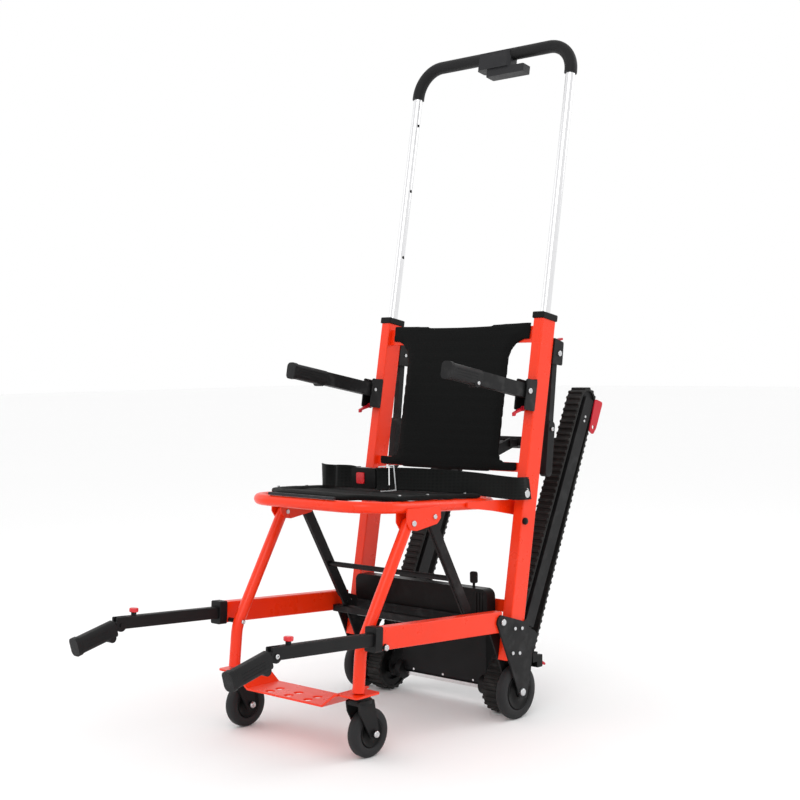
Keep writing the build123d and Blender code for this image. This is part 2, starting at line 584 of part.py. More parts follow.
def footplate():
    """Dished tread plate between the legs with round drain holes."""
    outline = [(-157.7, MOUNT_Z), (-150, MOUNT_Z), (-112, 104), (112, 104), (150, MOUNT_Z),
               (157.7, MOUNT_Z), (157.7, MOUNT_Z - 4), (152, MOUNT_Z - 4), (113, 100),
               (-113, 100), (-152, MOUNT_Z - 4), (-157.7, MOUNT_Z - 4)]
    face = make_face(Polyline(*[Vector(x, 0, z) for x, z in outline], close=True))
    tread = Pos(0, -334, 0) * extrude(face, amount=92, dir=(0, 1, 0))
    for x in (-57, 0, 57):
        for y in (-318, -290):
            tread = tread - Pos(x, y, 102) * Cylinder(10.5, 12)
    return tread


def strut_point(distance):
    """Point on the strut line, measured from its head."""
    length = math.dist(STRUT_HEAD, STRUT_FOOT)
    t = distance / length
    return (STRUT_HEAD[0] + (STRUT_FOOT[0] - STRUT_HEAD[0]) * t,
            STRUT_HEAD[1] + (STRUT_FOOT[1] - STRUT_HEAD[1]) * t)


def upper_struts():
    """Flat bars hung from the seat brackets, which slide along the lower struts."""
    arm = bar(strut_point(14), strut_point(246), LINK_X - 0.3, LINK_X + 4.7, 22)
    arm = arm + bar(STRUT_HEAD, strut_point(14), LINK_X - 0.3, LINK_X + 4.7, 16)
    return both_sides(arm - rod_x(*STRUT_HEAD, 4.06, 150, 230))


def lower_struts():
    """Flat bars hinged on the rail crossbar, tied by a round release bar."""
    foot, head = STRUT_FOOT, strut_point(24)
    arm = bar(foot, head, LINK_X - 6, LINK_X - 1, 24) - rod_x(*foot, 4.06, 150, 230)
    y, z = strut_point(165)
    tie = rod_x(y - 3, z + 2, 6, -LINK_X + 6, LINK_X - 6)
    return arm + mirror(arm, about=Plane.YZ) + tie


# ---------------------------------------------------------------- wheels and lift handles

def wheel(radius, width, hub_radius, bore):
    """Tyre and hub about the X axis at the origin."""
    tyre = Rot(0, 90, 0) * Cylinder(radius, width)
    tyre = fillet(tyre.edges().filter_by(GeomType.CIRCLE), width * 0.28)
    dish = Rot(0, 90, 0) * (Cylinder(hub_radius, 4) - Cylinder(hub_radius * 0.45, 4))
    tyre = tyre - Pos(width / 2 - 1, 0, 0) * dish - Pos(-width / 2 + 1, 0, 0) * dish
    return tyre - Rot(0, 90, 0) * Cylinder(bore, width + 10)


def rear_wheel(side):
    body = Pos(POST_X, *REAR_AXLE) * wheel(REAR_R, REAR_W, 40, 5.05)
    return body if side > 0 else mirror(body, about=Plane.YZ)


def caster_wheel(side):
    body = Pos(CASTER_X, CASTER_Y + CASTER_TRAIL, CASTER_R) * wheel(CASTER_R, CASTER_W, 30, 5.05)
    return body if side > 0 else mirror(body, about=Plane.YZ)


def caster_fork(side):
    """Swivel head, fork cheeks and axle of a caster."""
    top = MOUNT_Z - 4
    head = Pos(CASTER_X, CASTER_Y, top - 4.3) * Cylinder(21, 8)
    crown = Pos(CASTER_X, CASTER_Y, top - 11) * Cylinder(24, 8)
    cheek = plate([(CASTER_Y - 23, top - 8), (CASTER_Y + 22, top - 8), (CASTER_Y + CASTER_TRAIL + 12, 62),
                   (CASTER_Y + CASTER_TRAIL + 9, 40), (CASTER_Y + CASTER_TRAIL - 9, 40),
                   (CASTER_Y - 20, top - 30)], 0, 3.5, 4)
    cheeks = Pos(CASTER_X + 15, 0, 0) * cheek + Pos(CASTER_X - 18.5, 0, 0) * cheek
    bridge = block(CASTER_X - 18.5, CASTER_X + 18.5, CASTER_Y - 22, CASTER_Y + 21, top - 18, top - 8, 4)
    axle_y = CASTER_Y + CASTER_TRAIL
    axle = rod_x(axle_y, CASTER_R, 5.0, CASTER_X - 22, CASTER_X + 22)
    nut = rod_x(axle_y, CASTER_R, 8, CASTER_X + 18.5, CASTER_X + 22)
    body = head + crown + cheeks + bridge + axle + nut
    return body if side > 0 else mirror(body, about=Plane.YZ)


def lift_place(shape):
    """Moves a shape drawn along Y about the grip pivot into the rail's slope."""
    return Pos(POST_X, *GRIP_PIVOT) * Rot(-RAIL_SLOPE, 0, 0) * shape


def lift_tube(side):
    """Black lift handle tube that slides into the rail."""
    front, rear = -10.0, 380.0
    tube = Pos(0, (front + rear) / 2, LIFT_RISE) * Box(LIFT_W, rear - front, LIFT_H)
    tube = fillet(tube.edges().filter_by(Axis.Y), 3)
    boss = Rot(0, 90, 0) * Cylinder(13, LIFT_W)
    slot = Pos(0, -6, 0) * Box(9, 44, 60)
    pin = Rot(0, 90, 0) * Cylinder(4, LIFT_W + 6)
    stem = Pos(0, 37, LIFT_RISE + LIFT_H / 2 + 3) * Cylinder(5.5, 6)
    body = lift_place(tube + boss - slot + pin + stem)
    return body if side > 0 else mirror(body, about=Plane.YZ)


def lift_knob(side):
    """Red clamp knob on top of a lift handle."""
    knob = Pos(0, 37, LIFT_RISE + LIFT_H / 2 + 10.8) * Cylinder(9.5, 9)
    knob = fillet(knob.edges().filter_by(GeomType.CIRCLE), 2.5)
    body = lift_place(knob)
    return body if side > 0 else mirror(body, about=Plane.YZ)


def lift_grip(side):
    """Hinged rubber grip at the end of a lift handle, resting tilted down."""
    grip = Pos(0, -14, -2) * hand_grip(98, drop=3)
    tongue = Pos(0, -10, 0) * Box(8.2, 26, 18) + Rot(0, 90, 0) * Cylinder(9, 8.2)
    body = grip + tongue - Rot(0, 90, 0) * Cylinder(4.06, 40)
    body = Pos(POST_X, *GRIP_PIVOT) * Rot(14, 0, 0) * body
    return body if side > 0 else mirror(body, about=Plane.YZ)


def ignition_key():
    """Key with a black head standing in the battery's lock."""
    blade = Pos(152, 106, 292) * Box(6, 2, 16)
    head = Pos(152, 106, 312) * Box(18, 6, 26)
    return blade + fillet(head.edges().filter_by(Axis.Y), 5)


def main():
    os.makedirs("parts", exist_ok=True)
    single = [posts, post_caps, frame_crossmembers, backrest, rear_plates, frame_fasteners,
              armrest_brackets, brace_brackets, battery_case, battery_tray, drive_housing,
              drive_strip, track_sprockets, track_belts, track_frames, track_guards,
              track_crossbar, track_stay, brace_levers, release_block, release_lever, lap_belt,
              buckle, buckle_button, belt_adjuster, handle_frame, handle_grip, control_housing,
              control_rocker, seat_frame, seat_pad, seat_bar, seat_bolts, side_rails,
              rail_fittings, front_legs, footplate, upper_struts, lower_struts, ignition_key]
    for make in single:
        save(make.__name__, make())
    paired = [brace, armrest_tube, armrest_grip, armrest_lever, rear_wheel, caster_wheel,
              caster_fork, lift_tube, lift_knob, lift_grip]
    for make in paired:
        save(make.__name__ + "_left", make(1))
        save(make.__name__ + "_right", make(-1))


main()
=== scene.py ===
import json
import math
import bmesh
import bpy
from mathutils import Matrix, Vector
from mathutils.bvhtree import BVHTree


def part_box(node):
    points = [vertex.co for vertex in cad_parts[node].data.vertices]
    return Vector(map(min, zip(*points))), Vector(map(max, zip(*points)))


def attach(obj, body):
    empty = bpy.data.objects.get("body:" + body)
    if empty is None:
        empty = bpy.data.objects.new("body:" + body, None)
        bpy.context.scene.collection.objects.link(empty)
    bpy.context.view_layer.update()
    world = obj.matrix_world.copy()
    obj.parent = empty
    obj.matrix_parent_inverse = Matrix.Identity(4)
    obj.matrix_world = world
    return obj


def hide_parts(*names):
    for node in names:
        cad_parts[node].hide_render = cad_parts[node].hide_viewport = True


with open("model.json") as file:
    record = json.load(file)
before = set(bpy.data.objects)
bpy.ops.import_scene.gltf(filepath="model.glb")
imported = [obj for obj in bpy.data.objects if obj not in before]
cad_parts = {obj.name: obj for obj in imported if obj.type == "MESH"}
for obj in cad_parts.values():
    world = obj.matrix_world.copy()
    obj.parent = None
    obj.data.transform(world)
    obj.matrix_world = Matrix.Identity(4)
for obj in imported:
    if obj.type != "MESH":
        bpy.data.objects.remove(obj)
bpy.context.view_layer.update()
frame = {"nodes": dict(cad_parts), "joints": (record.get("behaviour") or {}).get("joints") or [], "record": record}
NODES = frame["nodes"]
JOINTS = {joint["name"]: joint for joint in frame["joints"]}

# Chair dimensions that pieces here share with the CAD model, in metres
RECLINE = math.radians(10.71)
TILT = math.radians(26.0)                     # lean of the tracks
BRACE_LEAN = math.radians(7.0)
TRACK_X, BELT_WIDTH = 0.1777, 0.041
SPROCKET_R, ROLLER_R, TRACK_LENGTH, KNEE_DOWN = 0.0505, 0.0305, 0.7088, 0.590
LUG_PITCH, LUG_LENGTH, LUG_HEIGHT = 0.0155, 0.0085, 0.0036
WEBBING_WIDTH, WEBBING_THICK = 0.050, 0.0022
SIDES = ((1, "left"), (-1, "right"))


def pivot(joint):
    return Vector(JOINTS[joint]["pos_m"])


# ---------------------------------------------------------------- materials

class Nodes:
    """Short way to add and link shader nodes of one material."""

    def __init__(self, name):
        self.material = bpy.data.materials.new(name)
        self.material.use_nodes = True
        self.tree = self.material.node_tree
        self.shader = self.tree.nodes["Principled BSDF"]
        self.place = self.add("ShaderNodeTexCoord").outputs["Object"]

    def add(self, kind, links=(), **settings):
        node = self.tree.nodes.new(kind)
        for key, value in settings.items():
            if key in node.inputs:
                node.inputs[key].default_value = value
            else:
                setattr(node, key, value)
        for source, socket in links:
            self.tree.links.new(source, node.inputs[socket])
        return node

    def link(self, source, socket):
        self.tree.links.new(source, self.shader.inputs[socket])

    def noise(self, scale, detail=3.0):
        return self.add("ShaderNodeTexNoise", [(self.place, "Vector")], Scale=scale, Detail=detail)

    def remap(self, source, low, high, to_low, to_high):
        spread = self.add("ShaderNodeMapRange", [(source, "Value")])
        for socket, value in zip(("From Min", "From Max", "To Min", "To Max"),
                                 (low, high, to_low, to_high)):
            spread.inputs[socket].default_value = value
        return spread.outputs["Result"]

    def mix(self, amount, a, b):
        """Colour a where amount is 0, colour b where it is 1; each is a colour or a socket."""
        node = self.add("ShaderNodeMix", [(amount, "Factor")], data_type="RGBA")
        for value, socket in ((a, node.inputs[6]), (b, node.inputs[7])):
            if isinstance(value, bpy.types.NodeSocket):
                self.tree.links.new(value, socket)
            else:
                socket.default_value = (*value, 1.0)
        return node.outputs[2]

    def times(self, a, b, operation="MULTIPLY"):
        node = self.add("ShaderNodeMath", [(a, 0), (b, 1)], operation=operation)
        return node.outputs[0]

    def bump(self, height, strength, distance, edge=0.0):
        bump = self.add("ShaderNodeBump", [(height, "Height")], Strength=strength,
                        Distance=distance)
        if edge:
            bevel = self.add("ShaderNodeBevel", samples=4, Radius=edge)
            self.tree.links.new(bevel.outputs["Normal"], bump.inputs["Normal"])
        self.link(bump.outputs["Normal"], "Normal")


def painted(name, color, dark, rough=(0.25, 0.38), grain=900.0, texture=0.12, coat=0.0,
            wear=(0.5, 0.46, 0.42), edge=0.0007, worn=0.5, specular=0.5):
    """Powder coat or moulded plastic: fine texture, soft clouding and rubbed edges."""
    n = Nodes(name)
    clouds = n.noise(7.0).outputs["Fac"]
    fine = n.noise(grain, 2.0).outputs["Fac"]
    body = n.mix(n.remap(clouds, 0.3, 0.7, 0.0, 1.0), color, dark)
    rubbed = n.remap(n.add("ShaderNodeNewGeometry").outputs["Pointiness"], 0.56, 0.64, 0.0, 1.0)
    patchy = n.remap(n.noise(38.0, 5.0).outputs["Fac"], 0.52, 0.7, 0.0, worn)
    n.link(n.mix(n.times(rubbed, patchy), body, wear), "Base Color")
    n.link(n.remap(n.noise(23.0, 4.0).outputs["Fac"], 0.3, 0.7, *rough), "Roughness")
    n.shader.inputs["Specular IOR Level"].default_value = specular
    n.shader.inputs["Coat Weight"].default_value = coat
    n.shader.inputs["Coat Roughness"].default_value = 0.12
    n.bump(fine, texture, 0.0006, edge)
    return n.material


def metal(name, color, rough=(0.16, 0.3), brushed=(60.0, 60.0, 60.0), texture=0.08, edge=0.0004):
    """Bare or plated metal with fine lines drawn out along one axis."""
    n = Nodes(name)
    stretch = n.add("ShaderNodeMapping", [(n.place, "Vector")], Scale=brushed)
    lines = n.add("ShaderNodeTexNoise", [(stretch.outputs["Vector"], "Vector")], Scale=12.0,
                  Detail=5.0).outputs["Fac"]
    n.link(n.mix(n.remap(lines, 0.3, 0.7, 0.0, 1.0), color, [c * 0.82 for c in color]), "Base Color")
    n.link(n.remap(n.noise(30.0, 4.0).outputs["Fac"], 0.3, 0.7, *rough), "Roughness")
    n.shader.inputs["Metallic"].default_value = 1.0
    n.bump(lines, texture, 0.0002, edge)
    return n.material


def woven(name, color, light, across, threads=1400.0, rough=0.82, depth=0.5):
    """Plain weave of two crossing sets of threads, the second along the axis named across."""
    n = Nodes(name)
    waves = [n.add("ShaderNodeTexWave", [(n.place, "Vector")], bands_direction=direction,
                   Scale=threads / 20, Distortion=0.6, Detail=1.0).outputs["Fac"]
             for direction in ("X", across)]
    weave = n.times(waves[0], waves[1], "MAXIMUM")
    folds = n.remap(n.noise(9.0, 4.0).outputs["Fac"], 0.3, 0.7, 0.0, 0.6)
    body = n.mix(n.times(weave, folds), color, light)
    n.link(body, "Base Color")
    n.link(n.remap(folds, 0.0, 0.6, rough - 0.08, rough), "Roughness")
    n.shader.inputs["Specular IOR Level"].default_value = 0.12
    n.shader.inputs["Sheen Weight"].default_value = 0.03
    n.shader.inputs["Sheen Roughness"].default_value = 0.45
    n.bump(weave, depth, 0.0004)
    return n.material


RED, RED_DARK = (0.92, 0.036, 0.003), (0.87, 0.030, 0.002)
COAT, COAT_DARK = (0.0085, 0.0085, 0.009), (0.0065, 0.0065, 0.007)
MATERIALS = {
    "frame_red": painted("powder_red", RED, RED_DARK, (0.26, 0.34), 600.0, 0.04, 0.0,
                         (0.60, 0.10, 0.06), worn=0.06, specular=0.36),
    "accent_red": painted("crimson", (0.55, 0.008, 0.022), (0.48, 0.006, 0.018), (0.25, 0.35),
                          wear=(0.5, 0.1, 0.1), worn=0.1, specular=0.3),
    "black_coat": painted("black_coat", COAT, COAT_DARK, (0.46, 0.58), 1300.0, 0.2, 0.0,
                          (0.05, 0.05, 0.05), specular=0.2),
    "black_plastic": painted("black_plastic", (0.0055, 0.0055, 0.0055), (0.0040, 0.0040, 0.0040),
                             (0.3, 0.42), 1500.0, 0.16, 0.0, (0.03, 0.03, 0.03), 0.0012,
                             specular=0.13),
    "grey_plastic": painted("grey_plastic", (0.022, 0.022, 0.024), (0.017, 0.017, 0.019),
                            (0.38, 0.5), 1100.0, 0.3, 0.0, (0.07, 0.07, 0.07), 0.001,
                            specular=0.2),
    "red_plastic": painted("red_plastic", (0.70, 0.012, 0.020), (0.62, 0.010, 0.016), (0.22, 0.3),
                           500.0, 0.05, 0.2, (0.7, 0.1, 0.08)),
    "tyre_rubber": painted("tyre_rubber", (0.017, 0.017, 0.018), (0.012, 0.012, 0.013),
                           (0.5, 0.66), 700.0, 0.3, 0.0, (0.05, 0.05, 0.05), 0.001,
                           specular=0.28),
    "belt_rubber": painted("belt_rubber", (0.014, 0.0135, 0.013), (0.010, 0.0095, 0.009),
                           (0.46, 0.62), 800.0, 0.35, 0.0, (0.05, 0.048, 0.045), 0.0008,
                           specular=0.2),
    "grip_rubber": painted("grip_rubber", (0.010, 0.010, 0.0105), (0.007, 0.007, 0.0075),
                           (0.42, 0.56), 1700.0, 0.5, 0.0, (0.035, 0.035, 0.035), 0.001,
                           specular=0.2),
    "aluminium_tube": metal("aluminium", (0.86, 0.86, 0.87), (0.12, 0.22), (90.0, 90.0, 2.0)),
    "zinc": metal("zinc", (0.66, 0.67, 0.68), (0.2, 0.34)),
    "black_fabric": woven("sling_fabric", (0.0018, 0.0020, 0.0020), (0.0045, 0.0050, 0.0048), "Z"),
    "webbing": woven("webbing", (0.0035, 0.0040, 0.0038), (0.012, 0.013, 0.0125), "Z", 900.0, 0.7, 0.9),
}
SEAT_FABRIC = woven("seat_fabric", (0.0022, 0.0024, 0.0024), (0.0060, 0.0065, 0.0064), "Y", 1100.0)

for part in frame["record"]["subparts"]:
    node = NODES[part["node"]]
    node.data.materials.clear()
    node.data.materials.append(MATERIALS[part["material_slot"]])


# ---------------------------------------------------------------- mesh helpers

def add_piece(name, mesh, slot, body, looks=None):
    """Puts a mesh in the scene as a piece that rides on a body."""
    piece = bpy.data.objects.new(name, mesh)
    bpy.context.scene.collection.objects.link(piece)
    mesh.materials.append(looks or MATERIALS[slot])
    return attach(piece, body)


def from_bmesh(name, bm, smooth=True):
    mesh = bpy.data.meshes.new(name)
    bmesh.ops.recalc_face_normals(bm, faces=bm.faces)
    bm.to_mesh(mesh)
    bm.free()
    for face in mesh.polygons:
        face.use_smooth = smooth
    return mesh


def turned(name, profile, centre, axis=(1, 0, 0), steps=64, hexagon=None):
    """Mesh of (distance along axis, radius) points turned about an axis through centre."""
    turn = Vector((0, 0, 1)).rotation_difference(Vector(axis)).to_matrix()
    bm = bmesh.new()
    rings = []
    for along, radius in profile:
        ring = []
        for i in range(steps):
            angle = 2 * math.pi * i / steps
            r = radius
            if hexagon and radius >= hexagon:
                r = radius / math.cos((angle + math.pi / 6) % (math.pi / 3) - math.pi / 6)
            point = turn @ Vector((r * math.cos(angle), r * math.sin(angle), along))
            ring.append(bm.verts.new(Vector(centre) + point))
        rings.append(ring)
    for a, b in zip(rings, rings[1:]):
        for i in range(steps):
            j = (i + 1) % steps
            bm.faces.new((a[i], a[j], b[j], b[i]))
    bm.faces.new(rings[0])
    bm.faces.new(rings[-1])
    return from_bmesh(name, bm)


def screw(name, centre, axis, radius, body, slot="zinc"):
    """Domed screw head with a round socket, its flat back at centre."""
    profile = [(-0.001, radius), (radius * 0.25, radius), (radius * 0.52, radius * 0.82),
               (radius * 0.66, radius * 0.5), (radius * 0.64, radius * 0.44),
               (radius * 0.3, radius * 0.42), (radius * 0.3, 0.0002)]
    return add_piece(name, turned(name, profile, centre, axis, 24), slot, body)


def wheel(name, body, node, centre, radius, width, hub):
    """Rubber tyre on a plastic hub with a stepped face on both sides."""
    w = width / 2
    half = [(w * 0.62, hub), (w * 0.80, hub + 0.0008), (w * 0.92, hub + 0.004),
            (w * 0.90, radius * 0.86), (w * 0.76, radius * 0.95), (w * 0.5, radius * 0.99),
            (0.0, radius)]
    profile = half + [(-x, r) for x, r in half[-2::-1]]
    tyre = add_piece(f"{name}_tyre", turned(f"{name}_tyre", profile, centre, steps=96),
                     "tyre_rubber", body)
    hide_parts(node)
    face = [(w * 0.70, hub + 0.0006), (w * 0.84, hub * 0.95), (w * 0.84, hub * 0.90),
            (w * 0.76, hub * 0.87), (w * 0.76, hub * 0.46), (w * 0.88, hub * 0.40),
            (w * 0.90, hub * 0.34), (w * 0.90, 0.0055)]
    profile = face + [(-x, r) for x, r in face[::-1]]
    add_piece(f"{name}_hub", turned(f"{name}_hub", profile, centre, steps=72),
              "black_plastic", body)


def evaluated(piece):
    """Replaces a piece's mesh by what its modifiers make of it."""
    graph = bpy.context.evaluated_depsgraph_get()
    mesh = bpy.data.meshes.new_from_object(piece.evaluated_get(graph))
    piece.modifiers.clear()
    piece.data = mesh


def cloth_copy(name, node, voxel, pressure, cap, looks):
    """A fabric piece: the CAD solid remeshed, swollen by cloth simulation, and smoothed."""
    piece = bpy.data.objects.new(name, NODES[node].data.copy())
    bpy.context.scene.collection.objects.link(piece)
    remesh = piece.modifiers.new("remesh", "REMESH")
    remesh.mode, remesh.voxel_size = "VOXEL", voxel
    evaluated(piece)
    rest = [v.co.copy() for v in piece.data.vertices]
    cloth = piece.modifiers.new("cloth", "CLOTH")
    cloth.settings.use_pressure = True
    cloth.settings.uniform_pressure_force = pressure
    cloth.settings.effector_weights.gravity = 0.0
    cloth.point_cache.frame_start, cloth.point_cache.frame_end = 1, 20
    for number in range(1, 21):
        bpy.context.scene.frame_set(number)
    evaluated(piece)
    for vertex, start in zip(piece.data.vertices, rest):
        move = vertex.co - start
        if move.length > cap:
            vertex.co = start + move.normalized() * cap
    bpy.context.scene.frame_set(1)
    piece.modifiers.new("smooth", "SMOOTH").iterations = 3
    piece.modifiers.new("finer", "SUBSURF").levels = 1
    evaluated(piece)
    for face in piece.data.polygons:
        face.use_smooth = True
    piece.data.materials.clear()
    piece.data.materials.append(looks)
    return piece


# ---------------------------------------------------------------- sling seat and backrest

def thread_run(name, points, body, spacing=0.0042, size=0.0005):
    """A row of stitches: short thread loops along a line of points with their normals."""
    bm = bmesh.new()
    for (a, out), (b, _) in zip(points, points[1:]):
        count = max(1, int((b - a).length / spacing))
        along = (b - a).normalized()
        turn = along.to_track_quat("X", "Z").to_matrix().to_4x4()
        for i in range(count):
            middle = a.lerp(b, (i + 0.5) / count) + out * size * 0.4
            shape = Matrix.Translation(middle) @ turn @ Matrix.Diagonal((spacing * 0.36, size, size, 1))
            bmesh.ops.create_uvsphere(bm, u_segments=8, v_segments=6, radius=1, matrix=shape)
    return add_piece(name, from_bmesh(name, bm), "webbing", body)


def build_sling():
    back = cloth_copy("back_fabric", "backrest", 0.0045, 1.2, 0.0035, MATERIALS["black_fabric"])
    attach(back, "chair_frame")
    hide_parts("backrest")
    seat = cloth_copy("seat_fabric_sling", "seat_pad", 0.0045, 1.5, 0.003, SEAT_FABRIC)
    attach(seat, "seat")
    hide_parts("seat_pad")


# ---------------------------------------------------------------- lap belt

def smooth_route(points, steps=10):
    """Points of a Catmull-Rom curve through the given ones."""
    route = [points[0], *points, points[-1]]
    out = []
    for a, b, c, d in zip(route, route[1:], route[2:], route[3:]):
        for i in range(steps):
            t = i / steps
            out.append(0.5 * (2 * b + (c - a) * t + (2 * a - 5 * b + 4 * c - d) * t * t
                              + (3 * b - a - 3 * c + d) * t * t * t))
    return out + [points[-1]]


def ribbon(name, route, lean, body):
    """Webbing strap on edge along a route of middle points, with thick selvedges."""
    bm = bmesh.new()
    rings = []
    w, t = WEBBING_WIDTH / 2, WEBBING_THICK / 2
    section = [(-w, -t), (-w, t), (-w + 0.0016, t * 1.25), (-w + 0.003, t * 0.85), (0, t * 0.9),
               (w - 0.003, t * 0.85), (w - 0.0016, t * 1.25), (w, t), (w, -t),
               (w - 0.0016, -t * 1.25), (w - 0.003, -t * 0.85), (0, -t * 0.9),
               (-w + 0.003, -t * 0.85), (-w + 0.0016, -t * 1.25)]
    for i, point in enumerate(route):
        along = (route[min(i + 1, len(route) - 1)] - route[max(i - 1, 0)]).normalized()
        side = along.cross(Vector((0, 0, 1))).normalized()
        angle = lean(i / (len(route) - 1))
        up = Vector((0, 0, 1)) * math.cos(angle) + side * math.sin(angle)
        up = (up - along * up.dot(along)).normalized()
        out = up.cross(along)
        rings.append([bm.verts.new(point + up * u + out * v) for u, v in section])
    for a, b in zip(rings, rings[1:]):
        for i in range(len(section)):
            j = (i + 1) % len(section)
            bm.faces.new((a[i], a[j], b[j], b[i]))
    bm.faces.new(rings[0])
    bm.faces.new(rings[-1][::-1])
    return add_piece(name, from_bmesh(name, bm), "webbing", body)


def build_lap_belt():
    low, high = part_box("lap_belt")
    middle = (low.z + high.z) / 2
    buckle_low, buckle_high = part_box("buckle")
    ring_low, ring_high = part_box("belt_adjuster")
    anchor_y = pivot("rear_wheel_spin_left").y + 0.026
    buckle_y = (buckle_low.y + buckle_high.y) / 2
    ring = (ring_low + ring_high) / 2
    ring.z = middle

    def near_ring(x, y):
        return ring + Vector((x, y, 0))

    long_route = [Vector((0.2476, anchor_y + 0.012, middle - 0.024)), Vector((0.2480, anchor_y, middle - 0.024)),
                  Vector((0.2506, anchor_y - 0.017, middle - 0.023)), Vector((0.2440, anchor_y - 0.035, middle - 0.022)),
                  Vector((0.2120, anchor_y - 0.050, middle - 0.019)), Vector((0.1650, anchor_y - 0.094, middle - 0.010)),
                  Vector((0.1000, anchor_y - 0.153, middle - 0.002)), near_ring(0.030, 0.020),
                  near_ring(0.014, 0.0116), near_ring(0.003, 0.004)]
    strap = ribbon("lap_belt_long", smooth_route(long_route), lambda t: 0.12 * (1 - t), "chair_frame")
    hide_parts("lap_belt")
    ribbon("lap_belt_link", smooth_route([Vector((buckle_high.x - 0.004, buckle_y, middle)),
                                          near_ring(-0.019, -0.0125), near_ring(-0.0134, -0.0130),
                                          near_ring(0.0005, -0.0042), near_ring(0.003, 0.0)]),
           lambda t: 0.0, "chair_frame")
    short = [Vector((buckle_low.x + 0.004, buckle_y, middle)), Vector((-0.098, buckle_y + 0.006, middle + 0.001)),
             Vector((-0.120, buckle_y - 0.009, middle + 0.002)), Vector((-0.143, buckle_y + 0.004, middle)),
             Vector((-0.165, buckle_y - 0.004, middle + 0.001)), Vector((-0.190, buckle_y + 0.010, middle + 0.001)),
             Vector((-0.203, buckle_y + 0.040, middle - 0.008)), Vector((-0.203, buckle_y + 0.110, middle - 0.014)),
             Vector((-0.208, anchor_y - 0.060, middle - 0.016)), Vector((-0.2180, anchor_y - 0.044, middle - 0.018)),
             Vector((-0.2440, anchor_y - 0.035, middle - 0.020)),
             Vector((-0.2506, anchor_y - 0.017, middle - 0.022)), Vector((-0.2480, anchor_y, middle - 0.024)),
             Vector((-0.2476, anchor_y + 0.012, middle - 0.024))]
    ribbon("lap_belt_short", smooth_route(short), lambda t: 0.06 * math.sin(9 * t), "chair_frame")


# ---------------------------------------------------------------- tracks

def belt_line():
    """Closed line of the belt's outer face, as points in the X-normal plane."""
    along = Vector((0, math.sin(TILT), math.cos(TILT)))
    across = Vector((0, math.cos(TILT), -math.sin(TILT)))
    axle = pivot("sprocket_spin")
    axle.x = 0
    top = axle + along * TRACK_LENGTH
    knee = top - along * KNEE_DOWN - across * ROLLER_R
    reach = knee - axle
    nose_angle = math.atan2(reach.z, reach.y) + math.acos(SPROCKET_R / reach.length)
    tail_angle = math.atan2(across.z, across.y) + 2 * math.pi
    steps = 60
    around_axle = [nose_angle + (tail_angle - nose_angle) * i / steps for i in range(steps + 1)]
    points = [axle + SPROCKET_R * Vector((0, math.cos(a), math.sin(a))) for a in around_axle]
    start = math.atan2(across.z, across.y)
    points += [top + ROLLER_R * Vector((0, math.cos(a), math.sin(a)))
               for a in (start + math.pi * i / steps for i in range(steps + 1))]
    return points + [knee]


def even_points(line, spacing):
    """(point, direction) at even spacing round a closed line."""
    lengths = [(b - a).length for a, b in zip(line, line[1:] + line[:1])]
    count = round(sum(lengths) / spacing)
    step = sum(lengths) / count
    out, walked, index = [], 0.0, 0
    for i in range(count):
        target = i * step
        while walked + lengths[index] < target:
            walked += lengths[index]
            index += 1
        a, b = line[index], line[(index + 1) % len(line)]
        direction = (b - a).normalized()
        out.append((a + direction * (target - walked), direction))
    return out


def build_belt_lugs(side, word):
    """Cross lugs vulcanised on the outer face of a belt."""
    bm = bmesh.new()
    half = BELT_WIDTH / 2 - 0.0004
    for point, direction in even_points(belt_line(), LUG_PITCH):
        out = Vector((0, direction.z, -direction.y))
        foot, crest = LUG_LENGTH / 2, LUG_LENGTH * 0.34
        section = [(-foot, -0.0006), (-crest, LUG_HEIGHT * 0.85), (-crest * 0.6, LUG_HEIGHT),
                   (crest * 0.6, LUG_HEIGHT), (crest, LUG_HEIGHT * 0.85), (foot, -0.0006)]
        ends = []
        for x in (-half, half):
            ends.append([bm.verts.new(point + Vector((side * TRACK_X + x, 0, 0)) + direction * u + out * v)
                         for u, v in section])
        for i in range(len(section)):
            j = (i + 1) % len(section)
            bm.faces.new((ends[0][i], ends[0][j], ends[1][j], ends[1][i]))
        bm.faces.new(ends[0])
        bm.faces.new(ends[1][::-1])
    name = f"belt_lugs_{word}"
    add_piece(name, from_bmesh(name, bm, smooth=False), "belt_rubber", "tracks")


# ---------------------------------------------------------------- wheels and hardware

def build_wheels():
    for _, word in SIDES:
        low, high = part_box(f"caster_wheel_{word}")
        centre, size = (low + high) / 2, high - low
        wheel(f"caster_{word}", f"caster_wheel_{word}", f"caster_wheel_{word}", centre,
              size.z / 2, size.x, size.z * 0.30)
        low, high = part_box(f"rear_wheel_{word}")
        centre, size = (low + high) / 2, high - low
        wheel(f"rear_{word}", f"rear_wheel_{word}", f"rear_wheel_{word}", centre,
              size.z / 2, size.x, size.z * 0.33)


